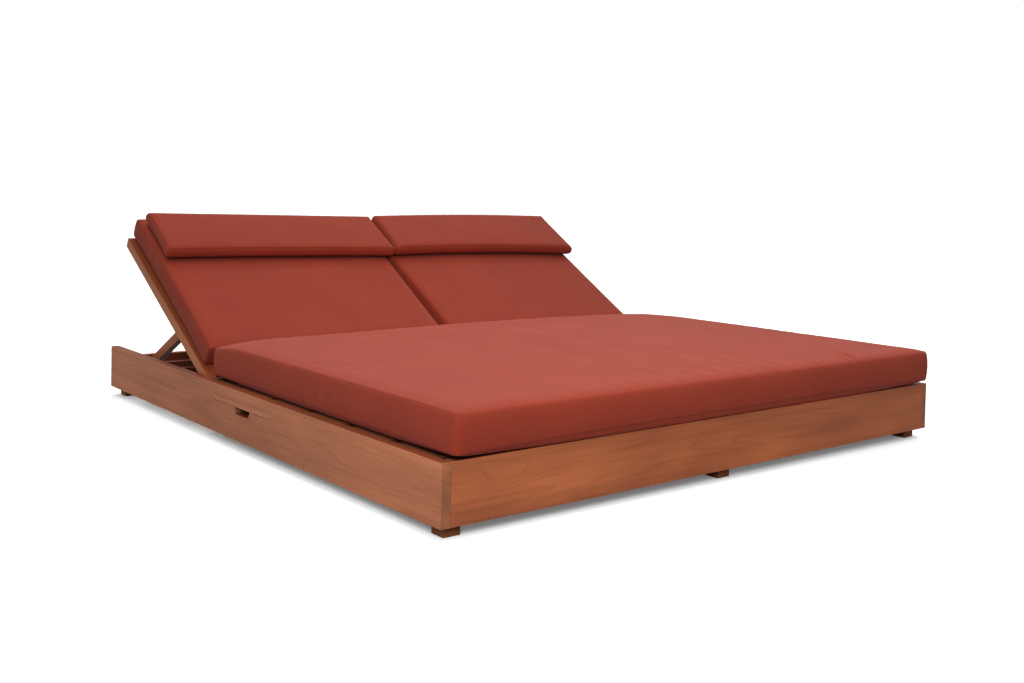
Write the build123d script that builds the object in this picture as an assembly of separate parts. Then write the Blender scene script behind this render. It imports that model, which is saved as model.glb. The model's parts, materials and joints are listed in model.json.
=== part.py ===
from build123d import *
import os
from math import asin, cos, degrees, radians, sin, sqrt

os.makedirs("parts", exist_ok=True)

# Double chaise lounger. Origin on the floor under the middle of its overall length and width.
# +X is to the right as seen from the foot end, +Y points to the head end and +Z is up.
# Every right-hand piece has a mirrored left-hand one.

# Frame
FRAME_WIDTH = 1880
RAIL_HEIGHT = 143
BOARD = 27
FLOOR_GAP = 29
HEAD_CLEARANCE = 2
EASE = 1.5
TENON_DEPTH = 12
TENON_THICKNESS = 10
TENON_SHOULDER = 20

# Feet
FOOT = 46

# Seat deck
SLAT_THICKNESS = 18
SEAT_SLATS = 6
SEAT_SLAT_WIDTH = 160
SLAT_END_GAP = 1
LEDGER_WIDTH = 40
LEDGER_THICKNESS = 12
SEAT_LENGTH = 1238
HEAD_OVERHANG = 34
BEAM_UNDER = 82
BEARER_HEIGHT = 40

# Trays
TRAY_CENTRE_SHARE = 0.7664
TRAY_LENGTH = 371.4
TRAY_DEPTH = 340
TRAY_THICKNESS = 17.6
TRAY_SIDE_GAP = 0.3
TRAY_UNDER_GAP = 0.3
TRAY_OVER_GAP = 0.6
TRAY_LEDGE = 8
RUNNER_HEIGHT = 50
STOP_WIDTH = 30
STOP_HEIGHT = 12
STOP_SIDE_GAP = 1
NOTCH_TOP = 100
NOTCH_BOTTOM = 84
NOTCH_DEPTH = 19
NOTCH_CORNER = 15
NOTCH_OFF_CENTRE = 3

# Backs
DECK_GAP = 2
STILE_DEPTH = 34
STILE_LENGTH = 800
HINGE_GAP = 2
REST_ANGLE = 29.2
TOP_ANGLE = 52
BACK_RAIL_WIDTH = 70
BACK_RAIL_THICKNESS = 27
BACK_RAIL_INSET = 14
BACK_SLATS = 3
BACK_SLAT_WIDTH = 120
BACK_SLAT_THICKNESS = 12
BACK_TENON_THICKNESS = 7

# Pins, one size for the back hinges and for the props
PIN_RADIUS = 5
PIN_DEPTH = 12
PIN_FIT = 0.05
PIN_END_GAP = 0.5

# Props
PIVOT_SHARE = 0.35875
PIVOT_DROP = 7
STRUT_DEPTH = 31
STRUT_HEAD = 11
STRUT_THICKNESS = 22
STRUT_GAP = 1
FOLDED_GAP = 25.5
BAR_SIZE = 26
BAR_CORNER = 8
BAR_END_RADIUS = 11
BAR_UNDER_STILE = 10
RACK_THICKNESS = 24
RACK_CLEARANCE = 0.4
RACK_FLAT = 8
RACK_NOTCH_DEPTH = 10
RACK_END = 14
NOTCH_ANGLE_SHARES = (0, 0.32, REST_ANGLE / TOP_ANGLE, 0.79, 1)

# Screws that hold the feet
SCREW_RADIUS = 2.5
SCREW_HEAD_RADIUS = 4.5
SCREW_HEAD_HEIGHT = 3
SCREW_SINK = 14
SCREW_BITE = 12
SCREW_FIT = 0.05
SCREW_HEIGHT_SHARES = (0.4, 0.75)

# Cushions
SOFT_GAP = 0.3
SEAT_CUSHION_INSET = 25
SEAT_CUSHION_OVERHANG = 18
SEAT_CUSHION_SETBACK = 54
SEAT_CUSHION_RISE = 20
SEAT_CUSHION_SEAM = 105
SEAT_CUSHION_SHOULDER = 7
SEAT_CUSHION_CROWN = 6
SEAT_CUSHION_EDGE = 60
BACK_CUSHION_INSET = 25
BACK_CUSHION_START = 48
BACK_CUSHION_OVERHANG = 18
BACK_CUSHION_RISE = 8
BACK_CUSHION_SEAM = 70
BACK_CUSHION_THICKNESS = 75
BACK_CUSHION_EDGE = 40
BACK_CUSHION_INNER = 19
PILLOW_OVERHANG = 5
PILLOW_INNER = 6
PILLOW_LIE = 13
PILLOW_SETBACK = 50
PILLOW_LENGTH = 241
PILLOW_RISE = 6
PILLOW_SEAM = 45
PILLOW_SHOULDER = 4
PILLOW_CROWN = 3
PILLOW_EDGE = 28
CUSHION_ROUND = 6
CUSHION_BULGE = 4
CUSHION_DRAW = 4
SHOULDER_SAG_SHARE = 0.2

# Along a cushion from its end to its middle: how far the underside is lifted towards the lower seam,
# how far the top has risen above the upper seam, and how much of the crown is reached
END_LIFT_SHARES = (0.96, 0.9, 0.3, 0, 0)
END_RISE_SHARES = (0.05, 0.1, 0.75, 1, 1)
END_CROWN_SHARES = (0.04, 0.1, 0.3, 0.45, 1)

# Places worked out from the sizes above
OVERRUN = BOARD
HINGE_SETBACK = STILE_DEPTH / 2 + DECK_GAP
FRAME_LENGTH = BOARD + SEAT_LENGTH + HINGE_SETBACK + STILE_LENGTH - HEAD_OVERHANG
RAIL_TOP = FLOOR_GAP + RAIL_HEIGHT
HEAD_TOP = RAIL_TOP - STILE_DEPTH - HEAD_CLEARANCE
SIDE_OUT = FRAME_WIDTH / 2
SIDE_IN = SIDE_OUT - BOARD
BEAM_SIDE = BOARD / 2
FOOT_END = SEAT_CUSHION_OVERHANG / 2 - FRAME_LENGTH / 2
HEAD_END = FOOT_END + FRAME_LENGTH
DECK_START = FOOT_END + BOARD
DECK_END = DECK_START + SEAT_LENGTH
DECK_UNDER = RAIL_TOP - SLAT_THICKNESS
LEDGER_UNDER = DECK_UNDER - LEDGER_THICKNESS
BEAM_BOTTOM = DECK_UNDER - BEAM_UNDER
TRAY_Y = DECK_START + SEAT_LENGTH * TRAY_CENTRE_SHARE
SLOT_LENGTH = TRAY_LENGTH + 2 * TRAY_SIDE_GAP
SLOT_START = TRAY_Y - SLOT_LENGTH / 2
SLOT_END = TRAY_Y + SLOT_LENGTH / 2
SLOT_TOP = LEDGER_UNDER - TRAY_OVER_GAP
SLOT_BOTTOM = SLOT_TOP - TRAY_OVER_GAP - TRAY_THICKNESS - TRAY_UNDER_GAP
HINGE_Y = DECK_END + HINGE_SETBACK
HINGE_Z = RAIL_TOP - STILE_DEPTH / 2
STILE_OUT = SIDE_IN - HINGE_GAP
STILE_IN = BEAM_SIDE + HINGE_GAP
PIVOT_DISTANCE = STILE_LENGTH * PIVOT_SHARE
STRUT_SET = BOARD + STRUT_GAP
HEAD_FOOT_START = HEAD_END - BOARD - FOOT
STRUT_REACH = HEAD_FOOT_START - FOLDED_GAP - STRUT_DEPTH / 2 - HINGE_Y - PIVOT_DISTANCE
BAR_Z = RAIL_TOP - STILE_DEPTH - BAR_UNDER_STILE - BAR_SIZE / 2
PIN_LENGTH = BOARD + HINGE_GAP + PIN_DEPTH
BACK_CUSHION_END = HINGE_Y + STILE_LENGTH + BACK_CUSHION_OVERHANG


def block(x0, x1, y0, y1, z0, z1):
    """Sharp block between two opposite corners."""
    return Pos((x0 + x1) / 2, (y0 + y1) / 2, (z0 + z1) / 2) * Box(x1 - x0, y1 - y0, z1 - z0)


def board(x0, x1, y0, y1, z0, z1):
    """Block with eased edges."""
    return fillet(block(x0, x1, y0, y1, z0, z1).edges(), EASE)


def side_face(x, points):
    """Face across the X axis from a list of (y, z) points."""
    return Plane.YZ.offset(x) * make_face(Polyline(*points, close=True))


def rod(radius, start, end):
    """Round bar between two points."""
    way = Vector(*end) - Vector(*start)
    return Plane(origin=start, z_dir=way) * Cylinder(
        radius, way.length, align=(Align.CENTER, Align.CENTER, Align.MIN))


def keep(name, shape):
    """Write one named piece."""
    export_step(shape, "parts/" + name + ".step")


def keep_pair(name, shape):
    """Write a right-hand piece and its mirrored left-hand one."""
    keep(name + "_right", shape)
    keep(name + "_left", mirror(shape, about=Plane.YZ))


def raised(shape):
    """Piece of a back, drawn lying flat, turned up about its hinge pins."""
    return shape.rotate(Axis((0, HINGE_Y, HINGE_Z), (1, 0, 0)), REST_ANGLE)


def pivot_place(angle):
    """(y, z) of the prop's pins when the back stands at an angle."""
    turn = radians(angle)
    return (HINGE_Y + PIVOT_DISTANCE * cos(turn) + PIVOT_DROP * sin(turn),
            HINGE_Z + PIVOT_DISTANCE * sin(turn) - PIVOT_DROP * cos(turn))


def level_strut_angle(angle):
    """Slope of the strut that brings its bar down to BAR_Z."""
    return degrees(asin((pivot_place(angle)[1] - BAR_Z) / STRUT_REACH))


FOLDED_SLOPE = level_strut_angle(0)
SLOPE_SHARE = (level_strut_angle(TOP_ANGLE) - FOLDED_SLOPE) / TOP_ANGLE


def strut_slope(angle):
    """Slope of the strut below the level, in a constant share of the back's angle."""
    return FOLDED_SLOPE + SLOPE_SHARE * angle


def bar_place(angle):
    """(y, z) of the prop's bar when the back stands at an angle."""
    y, z = pivot_place(angle)
    slope = radians(strut_slope(angle))
    return y + STRUT_REACH * cos(slope), z - STRUT_REACH * sin(slope)


def cross_tenons(half_length, y0, y1, z0, z1):
    """Both tenons of a board that runs along X, as one list of blocks."""
    return [block(half_length, half_length + TENON_DEPTH, y0, y1, z0, z1),
            block(-half_length - TENON_DEPTH, -half_length, y0, y1, z0, z1)]


def end_tenons(y_middle, bottom, top):
    """Tenons of a rail between the side rails."""
    return cross_tenons(SIDE_IN, y_middle - TENON_THICKNESS / 2, y_middle + TENON_THICKNESS / 2,
                        bottom + TENON_SHOULDER, top - TENON_SHOULDER)


FOOT_RAIL_TENONS = end_tenons(FOOT_END + BOARD / 2, FLOOR_GAP, RAIL_TOP)
HEAD_RAIL_TENONS = end_tenons(HEAD_END - BOARD / 2, FLOOR_GAP, HEAD_TOP)
BEARER_Y = DECK_END - BOARD / 2
BEARER_TENONS = cross_tenons(SIDE_IN, BEARER_Y - TENON_THICKNESS / 2, BEARER_Y + TENON_THICKNESS / 2,
                             BEAM_BOTTOM - BEARER_HEIGHT * 0.75, BEAM_BOTTOM - BEARER_HEIGHT * 0.25)


def foot_screws():
    """Start, direction and (start, end) of each screw through a foot, right-hand and middle feet."""
    places = []
    for share in SCREW_HEIGHT_SHARES:
        for y in (DECK_START + FOOT / 2, HEAD_END - BOARD - FOOT / 2):
            height = FLOOR_GAP + (HEAD_TOP - FLOOR_GAP) * share
            places.append(((SIDE_IN - FOOT, y, height), (1, 0, 0)))
        height = FLOOR_GAP + (HEAD_TOP - FLOOR_GAP) * share
        places.append(((0, DECK_START + FOOT, height), (0, -1, 0)))
        places.append(((0, HEAD_FOOT_START, height), (0, 1, 0)))
    return places


def screw_at(place, extra=0):
    """One screw, or with extra radius the hole for it, entering at a foot's inner face."""
    start, way = Vector(*place[0]), Vector(*place[1])
    seat = start + way * SCREW_SINK
    tip = start + way * (FOOT + SCREW_BITE + extra)
    head_start = start if extra else seat - way * SCREW_HEAD_HEIGHT
    head = rod(SCREW_HEAD_RADIUS + extra, tuple(head_start), tuple(seat))
    shank = rod(SCREW_RADIUS + extra, tuple(seat), tuple(tip))
    return head + shank


def with_holes(shape, places):
    """Piece with the screw holes that meet it."""
    for place in places:
        shape = shape - screw_at(place, SCREW_FIT)
    return shape


def mirrored_x(place):
    """The left-hand twin of a screw's place."""
    (x, y, z), (dx, dy, dz) = place
    return (-x, y, z), (-dx, dy, dz)


def side_rail():
    """Right side rail with its tray slot, finger notch, mortises, hinge hole and screw holes."""
    rail = board(SIDE_IN, SIDE_OUT, FOOT_END, HEAD_END, FLOOR_GAP, RAIL_TOP)
    rail -= block(SIDE_IN - OVERRUN, SIDE_OUT + OVERRUN, SLOT_START, SLOT_END, SLOT_BOTTOM, SLOT_TOP)
    middle = TRAY_Y - NOTCH_OFF_CENTRE
    notch_floor = SLOT_BOTTOM - NOTCH_DEPTH
    notch = side_face(SIDE_IN - OVERRUN, [
        (middle - NOTCH_TOP / 2, SLOT_BOTTOM), (middle - NOTCH_BOTTOM / 2, notch_floor),
        (middle + NOTCH_BOTTOM / 2, notch_floor), (middle + NOTCH_TOP / 2, SLOT_BOTTOM)])
    notch = fillet(notch.vertices().sort_by(Axis.Z)[:2], NOTCH_CORNER)
    rail -= extrude(notch, BOARD + 2 * OVERRUN)
    for tenon in (FOOT_RAIL_TENONS[0], HEAD_RAIL_TENONS[0], BEARER_TENONS[0]):
        rail -= tenon
    rail -= rod(PIN_RADIUS + PIN_FIT, (SIDE_IN - OVERRUN, HINGE_Y, HINGE_Z),
                (SIDE_IN + PIN_DEPTH + PIN_END_GAP, HINGE_Y, HINGE_Z))
    return with_holes(rail, foot_screws())


def end_rail(y0, top, tenons):
    """Rail between the side rails, at the foot or at the head."""
    rail = board(-SIDE_IN, SIDE_IN, y0, y0 + BOARD, FLOOR_GAP, top) + tenons
    return with_holes(rail, foot_screws())


def corner_foot(y0, top):
    """Right-hand foot inside the corner of the frame."""
    return with_holes(board(SIDE_IN - FOOT, SIDE_IN, y0, y0 + FOOT, 0, top), foot_screws())


def middle_foot(y0, top):
    """Foot under an end of the centre beam."""
    return with_holes(board(-FOOT / 2, FOOT / 2, y0, y0 + FOOT, 0, top), foot_screws())


def centre_beam():
    """Beam under the seat slats, full height at the inner hinges and lower under the backs."""
    start = DECK_START + FOOT
    end = HEAD_FOOT_START
    step = HINGE_Y + STILE_DEPTH
    outline = [(start, BEAM_BOTTOM), (end, BEAM_BOTTOM), (end, HEAD_TOP), (step, HEAD_TOP),
               (step, RAIL_TOP), (DECK_END, RAIL_TOP), (DECK_END, DECK_UNDER), (start, DECK_UNDER)]
    beam = extrude(side_face(-BEAM_SIDE, outline), BOARD)
    beam = fillet(beam.edges().filter_by(Axis.Y), EASE)
    for side in (-1, 1):
        beam -= rod(PIN_RADIUS + PIN_FIT, (side * (BEAM_SIDE + OVERRUN), HINGE_Y, HINGE_Z),
                    (side * (BEAM_SIDE - PIN_DEPTH - PIN_END_GAP), HINGE_Y, HINGE_Z))
    return beam


def cross_bearer():
    """Bearer under the centre beam, near the hinges."""
    bearer = board(-SIDE_IN, SIDE_IN, DECK_END - BOARD, DECK_END, BEAM_BOTTOM - BEARER_HEIGHT, BEAM_BOTTOM)
    return bearer + BEARER_TENONS


def ledger():
    """Batten on the side rail that carries the slat ends and holds the tray board down."""
    return board(SIDE_IN - LEDGER_WIDTH, SIDE_IN, DECK_START, DECK_END, LEDGER_UNDER, DECK_UNDER)


def seat_slat(index):
    """One of the slats across the whole seat."""
    gap = (SEAT_LENGTH - SEAT_SLATS * SEAT_SLAT_WIDTH) / SEAT_SLATS
    y0 = DECK_START + gap / 2 + index * (SEAT_SLAT_WIDTH + gap)
    half = SIDE_IN - SLAT_END_GAP
    return board(-half, half, y0, y0 + SEAT_SLAT_WIDTH, DECK_UNDER, RAIL_TOP)


def tray_runner(slot_edge, way):
    """Rebated bearer under one edge of the tray board; way is +1 towards the board."""
    inner = slot_edge + way * TRAY_LEDGE
    outer = inner - way * BOARD
    runner = block(BEAM_SIDE, SIDE_IN, min(inner, outer), max(inner, outer),
                   LEDGER_UNDER - RUNNER_HEIGHT, LEDGER_UNDER)
    far = slot_edge + way * OVERRUN
    return runner - block(BEAM_SIDE - OVERRUN, SIDE_IN + OVERRUN, min(slot_edge, far), max(slot_edge, far),
                          SLOT_BOTTOM, LEDGER_UNDER + OVERRUN)


def tray_board():
    """Pull-out board, its edge flush with the side rail."""
    bottom = SLOT_BOTTOM + TRAY_UNDER_GAP
    return board(SIDE_OUT - TRAY_DEPTH, SIDE_OUT, TRAY_Y - TRAY_LENGTH / 2, TRAY_Y + TRAY_LENGTH / 2,
                 bottom, bottom + TRAY_THICKNESS)


def tray_stop():
    """Strip under the board's inner end that meets the side rail when the tray is out."""
    top = SLOT_BOTTOM + TRAY_UNDER_GAP
    start = SIDE_OUT - TRAY_DEPTH
    return board(start, start + STOP_WIDTH, SLOT_START + TRAY_LEDGE + STOP_SIDE_GAP,
                 SLOT_END - TRAY_LEDGE - STOP_SIDE_GAP, top - STOP_HEIGHT, top)


def rack(x0):
    """Notched batten for one end of a prop's bar; its tooth flats follow the bar's way."""
    drop = BAR_END_RADIUS + RACK_CLEARANCE
    stops = [bar_place(share * TOP_ANGLE) for share in reversed(NOTCH_ANGLE_SHARES)]
    middles = [(a + b) / 2 for a, b in zip(NOTCH_ANGLE_SHARES, NOTCH_ANGLE_SHARES[1:])]
    flats = [bar_place(share * TOP_ANGLE) for share in reversed(middles)]
    reach = BAR_END_RADIUS + RACK_END
    first = (stops[0][0] - reach, stops[0][1])
    last = (stops[-1][0] + reach, stops[-1][1])
    tips = [first] + flats + [last]
    edges = []
    corner = (first[0] - RACK_FLAT / 2, BEAM_BOTTOM)
    here = corner
    for index, (y, z) in enumerate(tips):
        before = (y - RACK_FLAT / 2, z - drop)
        after = (y + RACK_FLAT / 2, z - drop)
        if index:
            stop_y, stop_z = stops[index - 1]
            edges.append(ThreePointArc(here, (stop_y, stop_z - drop - RACK_NOTCH_DEPTH), before))
        else:
            edges.append(Line(here, before))
        edges.append(Line(before, after))
        here = after
    edges.append(Line(here, (here[0], BEAM_BOTTOM)))
    edges.append(Line((here[0], BEAM_BOTTOM), corner))
    return extrude(Plane.YZ.offset(x0) * make_face(edges), RACK_THICKNESS)


def stile(x0, way):
    """Long side of a back frame; way is +1 where the hinge pin leaves towards +X."""
    x1 = x0 + BOARD
    length = block(x0, x1, HINGE_Y, HINGE_Y + STILE_LENGTH, RAIL_TOP - STILE_DEPTH, RAIL_TOP)
    body = length + rod(STILE_DEPTH / 2, (x0, HINGE_Y, HINGE_Z), (x1, HINGE_Y, HINGE_Z))
    body = fillet(body.faces().filter_by(Axis.X).edges(), EASE)
    body -= rod(PIN_RADIUS + PIN_FIT, (x0 - OVERRUN, HINGE_Y, HINGE_Z), (x1 + OVERRUN, HINGE_Y, HINGE_Z))
    pin_y, pin_z = pivot_place(0)
    inside = x0 if way > 0 else x1
    deep = inside + way * (PIN_LENGTH - STRUT_THICKNESS - STRUT_GAP + PIN_END_GAP)
    body -= rod(PIN_RADIUS + PIN_FIT, (inside - way * OVERRUN, pin_y, pin_z), (deep, pin_y, pin_z))
    for place in back_member_places():
        for tenon in back_tenons(*place):
            body -= tenon
    return body


def back_tenons(u0, width, thickness):
    """Both tenons of a rail or slat of a back."""
    x0 = STILE_IN + BOARD
    x1 = STILE_OUT - BOARD
    inset = TENON_SHOULDER / 2
    shoulder = (thickness - BACK_TENON_THICKNESS) / 2
    sides = (HINGE_Y + u0 + inset, HINGE_Y + u0 + width - inset,
             RAIL_TOP - thickness + shoulder, RAIL_TOP - shoulder)
    return [block(x0 - TENON_DEPTH, x0, *sides), block(x1, x1 + TENON_DEPTH, *sides)]


def back_member(u0, width, thickness):
    """Rail or slat across a back frame, its face flush with the stiles, with a tenon at each end."""
    y0 = HINGE_Y + u0
    member = board(STILE_IN + BOARD, STILE_OUT - BOARD, y0, y0 + width, RAIL_TOP - thickness, RAIL_TOP)
    return member + back_tenons(u0, width, thickness)


def back_member_places():
    """Distance from the hinge, width and thickness of the lower rail, slats and upper rail, in order."""
    first = STILE_DEPTH / 2 + BACK_RAIL_INSET
    last = STILE_LENGTH - BACK_RAIL_INSET - BACK_RAIL_WIDTH
    clear = last - first - BACK_RAIL_WIDTH
    gap = (clear - BACK_SLATS * BACK_SLAT_WIDTH) / (BACK_SLATS + 1)
    slats = [(first + BACK_RAIL_WIDTH + gap + index * (BACK_SLAT_WIDTH + gap), BACK_SLAT_WIDTH,
              BACK_SLAT_THICKNESS) for index in range(BACK_SLATS)]
    return ([(first, BACK_RAIL_WIDTH, BACK_RAIL_THICKNESS)] + slats
            + [(last, BACK_RAIL_WIDTH, BACK_RAIL_THICKNESS)])


def back_pins():
    """The two hinge pins and two prop pins that ride with one back."""
    pin_y, pin_z = pivot_place(0)
    inner_pivot = STILE_IN + STRUT_SET + STRUT_THICKNESS
    outer_pivot = STILE_OUT - STRUT_SET - STRUT_THICKNESS
    places = [(STILE_IN + BOARD, -1, HINGE_Y, HINGE_Z), (STILE_OUT - BOARD, 1, HINGE_Y, HINGE_Z),
              (inner_pivot, -1, pin_y, pin_z), (outer_pivot, 1, pin_y, pin_z)]
    return [rod(PIN_RADIUS, (x, y, z), (x + way * PIN_LENGTH, y, z)) for x, way, y, z in places]


def hung(shape):
    """Piece of a prop, drawn with its bar level with its pins at the rest place, let down to its slope."""
    y, z = pivot_place(REST_ANGLE)
    return shape.rotate(Axis((0, y, z), (1, 0, 0)), -strut_slope(REST_ANGLE))


def strut(x0):
    """Prop strut: a small round head at the pin, set above its middle line, and a round foot at the bar."""
    y, z = pivot_place(REST_ANGLE)
    x1 = x0 + STRUT_THICKNESS
    half = STRUT_DEPTH / 2
    drop = half - STRUT_HEAD
    run = sqrt(STRUT_REACH ** 2 - drop ** 2)
    body = block(x0, x1, y, y + run, z - drop - half, z - drop + half)
    body += rod(STRUT_HEAD, (x0, y, z), (x1, y, z))
    body += rod(half, (x0, y + run, z - drop), (x1, y + run, z - drop))
    body = fillet(body.faces().filter_by(Axis.X).edges(), EASE)
    for radius, hole_y, hole_z in ((PIN_RADIUS, y, z), (BAR_END_RADIUS, y + run, z - drop)):
        body -= rod(radius + PIN_FIT, (x0 - OVERRUN, hole_y, hole_z), (x1 + OVERRUN, hole_y, hole_z))
    return body.rotate(Axis((0, y, z), (1, 0, 0)), degrees(asin(drop / STRUT_REACH)))


def prop_bar():
    """Bar between the struts, its round ends passing through them to the racks."""
    y, z = pivot_place(REST_ANGLE)
    y += STRUT_REACH
    half = BAR_SIZE / 2
    inner = STILE_IN + STRUT_SET + STRUT_THICKNESS
    outer = STILE_OUT - STRUT_SET - STRUT_THICKNESS
    bar = block(inner, outer, y - half, y + half, z - half, z + half)
    bar = fillet(bar.edges().filter_by(Axis.X), BAR_CORNER)
    return bar + rod(BAR_END_RADIUS, (STILE_IN, y, z), (STILE_OUT, y, z))


def cushion_section(x0, x1, y, bottom, low, high, top, edge, crown):
    """Closed outline across a boxed cushion: flat underside, bulging boxing, shoulders and crown."""
    middle = (low + high) / 2
    slack = CUSHION_BULGE

    def sagged(a, b, way):
        """Arc between a flat part and a seam, bowed outwards by a share of its rise."""
        sag = way * abs(a[2] - b[2]) * SHOULDER_SAG_SHARE
        return Edge.make_three_point_arc(a, ((a[0] + b[0]) / 2, y, (a[2] + b[2]) / 2 + sag), b)

    under_right, under_left = (x1 - edge, y, bottom), (x0 + edge, y, bottom)
    low_right, low_left = (x1 - slack, y, low), (x0 + slack, y, low)
    high_right, high_left = (x1 - slack, y, high), (x0 + slack, y, high)
    over_right, over_left = (x1 - edge, y, top), (x0 + edge, y, top)
    if crown:
        over = Edge.make_three_point_arc(over_right, ((x0 + x1) / 2, y, top + crown), over_left)
    else:
        over = Edge.make_line(over_right, over_left)
    return Wire([
        Edge.make_line(under_left, under_right), sagged(under_right, low_right, -1),
        Edge.make_three_point_arc(low_right, (x1, y, middle), high_right),
        sagged(high_right, over_right, 1), over, sagged(over_left, high_left, 1),
        Edge.make_three_point_arc(high_left, (x0, y, middle), low_left), sagged(low_left, under_left, -1)])


def cushion(x0, x1, y0, y1, z, rise, seam, top, edge, crown=0):
    """Boxed cushion on height z: its ends rounded like its sides, its long sides drawn in at the middle."""
    middle = (y1 - y0) / 2
    distances = (0, CUSHION_ROUND, edge / 2, edge, middle)
    sections = []
    for distance, lift, risen, crowned in zip(distances, END_LIFT_SHARES, END_RISE_SHARES, END_CROWN_SHARES):
        boxing_in = 0 if distance else CUSHION_ROUND
        drawn = CUSHION_DRAW if distance == middle else 0
        inset = boxing_in + drawn
        for y in [y0 + middle] if distance == middle else [y0 + distance, y1 - distance]:
            sections.append((y, cushion_section(
                x0 + inset, x1 - inset, y, z + rise * lift + boxing_in, z + rise + boxing_in,
                z + seam - boxing_in, z + seam - boxing_in + (top - seam) * risen, edge, crown * crowned)))
    sections.sort(key=lambda section: section[0])
    return Solid.make_loft([wire for y, wire in sections], ruled=True)


def seat_cushion():
    """Full-width cushion on the seat slats, past the foot rail at its front."""
    half = SIDE_OUT - SEAT_CUSHION_INSET
    front = FOOT_END - SEAT_CUSHION_OVERHANG
    return cushion(-half, half, front, HINGE_Y - SEAT_CUSHION_SETBACK, RAIL_TOP + SOFT_GAP, SEAT_CUSHION_RISE,
                   SEAT_CUSHION_SEAM, SEAT_CUSHION_SEAM + SEAT_CUSHION_SHOULDER, SEAT_CUSHION_EDGE,
                   SEAT_CUSHION_CROWN)


def back_cushion():
    """Cushion on a back, flat on top where the pillow lies."""
    return cushion(BACK_CUSHION_INNER, STILE_OUT - BACK_CUSHION_INSET, HINGE_Y + BACK_CUSHION_START,
                   BACK_CUSHION_END, RAIL_TOP + SOFT_GAP, BACK_CUSHION_RISE, BACK_CUSHION_SEAM,
                   BACK_CUSHION_THICKNESS, BACK_CUSHION_EDGE)


def head_pillow():
    """Pillow on the upper end of a back cushion, before it is moved to where it lies."""
    end = BACK_CUSHION_END - PILLOW_SETBACK
    return cushion(PILLOW_INNER, STILE_OUT - BACK_CUSHION_INSET + PILLOW_OVERHANG, end - PILLOW_LENGTH, end,
                   RAIL_TOP + BACK_CUSHION_THICKNESS + 2 * SOFT_GAP, PILLOW_RISE, PILLOW_SEAM,
                   PILLOW_SEAM + PILLOW_SHOULDER, PILLOW_EDGE, PILLOW_CROWN)


keep_pair("side_rail", side_rail())
keep("foot_rail", end_rail(FOOT_END, RAIL_TOP, FOOT_RAIL_TENONS))
keep("head_rail", end_rail(HEAD_END - BOARD, HEAD_TOP, HEAD_RAIL_TENONS))
keep_pair("foot_corner", corner_foot(DECK_START, LEDGER_UNDER))
keep_pair("head_corner", corner_foot(HEAD_FOOT_START, HEAD_TOP))
keep("foot_middle", middle_foot(DECK_START, DECK_UNDER))
keep("head_middle", middle_foot(HEAD_FOOT_START, HEAD_TOP))
keep("centre_beam", centre_beam())
keep("cross_bearer", cross_bearer())
keep_pair("ledger", ledger())
keep_pair("tray_runner_foot", tray_runner(SLOT_START, 1))
keep_pair("tray_runner_head", tray_runner(SLOT_END, -1))
keep_pair("rack_inner", rack(BEAM_SIDE))
keep_pair("rack_outer", rack(SIDE_IN - RACK_THICKNESS))
for index in range(SEAT_SLATS):
    keep("seat_slat_" + str(index + 1), seat_slat(index))
screws = foot_screws()
screws += [mirrored_x(place) for place in screws if place[0][0]]
keep("foot_screws", Compound([screw_at(place) for place in screws]))
keep("seat_cushion", seat_cushion())

keep_pair("stile_inner", raised(stile(STILE_IN, -1)))
keep_pair("stile_outer", raised(stile(STILE_OUT - BOARD, 1)))
slat_names = ["back_slat_" + str(index + 1) for index in range(BACK_SLATS)]
for name, place in zip(["back_rail_lower"] + slat_names + ["back_rail_upper"], back_member_places()):
    keep_pair(name, raised(back_member(*place)))
keep_pair("back_pins", raised(Compound(back_pins())))
keep_pair("back_cushion", raised(back_cushion()))
pillow = raised(head_pillow())
keep("head_pillow_right", Pos(PILLOW_LIE, 0, 0) * pillow)
keep("head_pillow_left", Pos(PILLOW_LIE, 0, 0) * mirror(pillow, about=Plane.YZ))

keep_pair("strut_inner", hung(strut(STILE_IN + STRUT_SET)))
keep_pair("strut_outer", hung(strut(STILE_OUT - STRUT_SET - STRUT_THICKNESS)))
keep_pair("prop_bar", hung(prop_bar()))

keep_pair("tray_board", tray_board())
keep_pair("tray_stop", tray_stop())
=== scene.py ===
import json
from math import cos, pi, radians, sin

import bpy
import numpy as np
from mathutils import Matrix, Vector


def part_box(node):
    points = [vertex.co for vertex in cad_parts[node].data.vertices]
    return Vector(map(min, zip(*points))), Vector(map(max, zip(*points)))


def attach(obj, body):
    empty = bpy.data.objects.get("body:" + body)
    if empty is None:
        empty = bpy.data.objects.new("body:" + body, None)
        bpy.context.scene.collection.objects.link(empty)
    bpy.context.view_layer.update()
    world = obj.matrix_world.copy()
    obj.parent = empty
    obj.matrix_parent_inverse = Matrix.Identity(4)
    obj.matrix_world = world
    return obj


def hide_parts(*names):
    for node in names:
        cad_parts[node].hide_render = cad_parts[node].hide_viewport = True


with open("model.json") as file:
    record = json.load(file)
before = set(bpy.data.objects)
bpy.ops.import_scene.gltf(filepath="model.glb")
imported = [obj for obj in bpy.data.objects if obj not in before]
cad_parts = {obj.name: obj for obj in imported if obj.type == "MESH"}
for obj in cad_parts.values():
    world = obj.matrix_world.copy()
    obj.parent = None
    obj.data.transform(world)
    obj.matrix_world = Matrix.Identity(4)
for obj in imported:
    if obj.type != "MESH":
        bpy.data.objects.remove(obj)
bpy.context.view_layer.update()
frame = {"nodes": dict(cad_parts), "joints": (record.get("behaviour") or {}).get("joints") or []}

# Lengths below are millimetres in the frame's axes; points are turned into metres when a mesh is made.
MM = 0.001
PHOTO_WIDTH = 1024

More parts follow.
